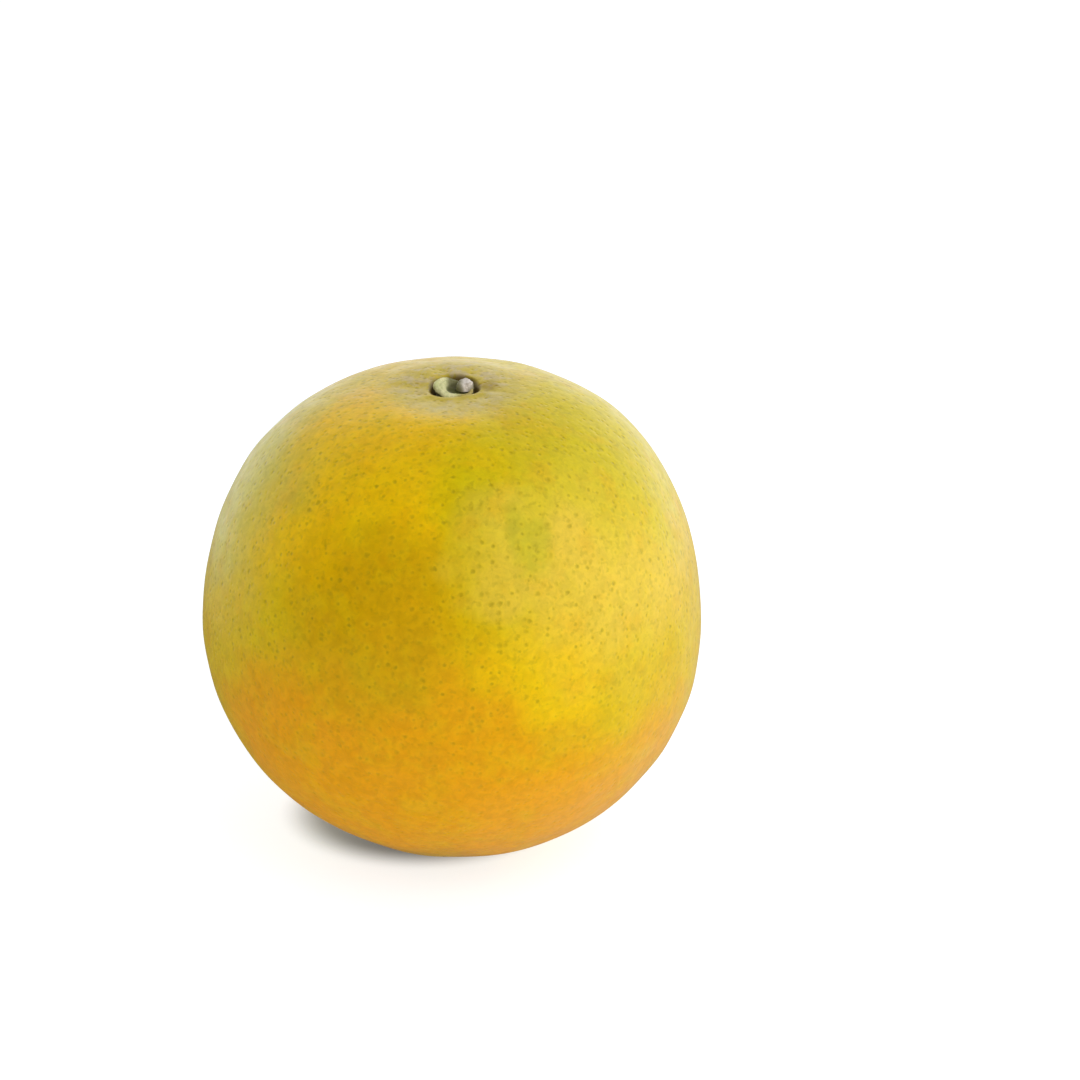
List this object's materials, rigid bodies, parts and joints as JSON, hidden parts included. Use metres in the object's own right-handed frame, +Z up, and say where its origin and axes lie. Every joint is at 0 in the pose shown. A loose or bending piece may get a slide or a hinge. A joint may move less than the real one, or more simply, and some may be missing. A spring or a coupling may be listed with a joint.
{
  "type": "orange",
  "caption": "Whole ripe sweet orange with green-tinged yellow peel, its dry calyx button and cut stem end, resting on its blossom end.",
  "frame": {"origin": "on the surface the fruit rests on, under the middle of the fruit", "axes": "+Z up through the stem; -Y towards the front, the side that a viewer sees"},
  "size_m": [0.0749, 0.075, 0.0725],
  "materials": {
    "peel": "waxy, finely pored, semi-matt citrus peel",
    "calyx": "dry, matt, pale green-cream sepals",
    "stem": "dry, matt, cut woody stem"
  },
  "bodies": {
    "root": {"fruit": "peel", "calyx": "calyx", "stem_stub": "stem"}
  },
  "joints": []
}
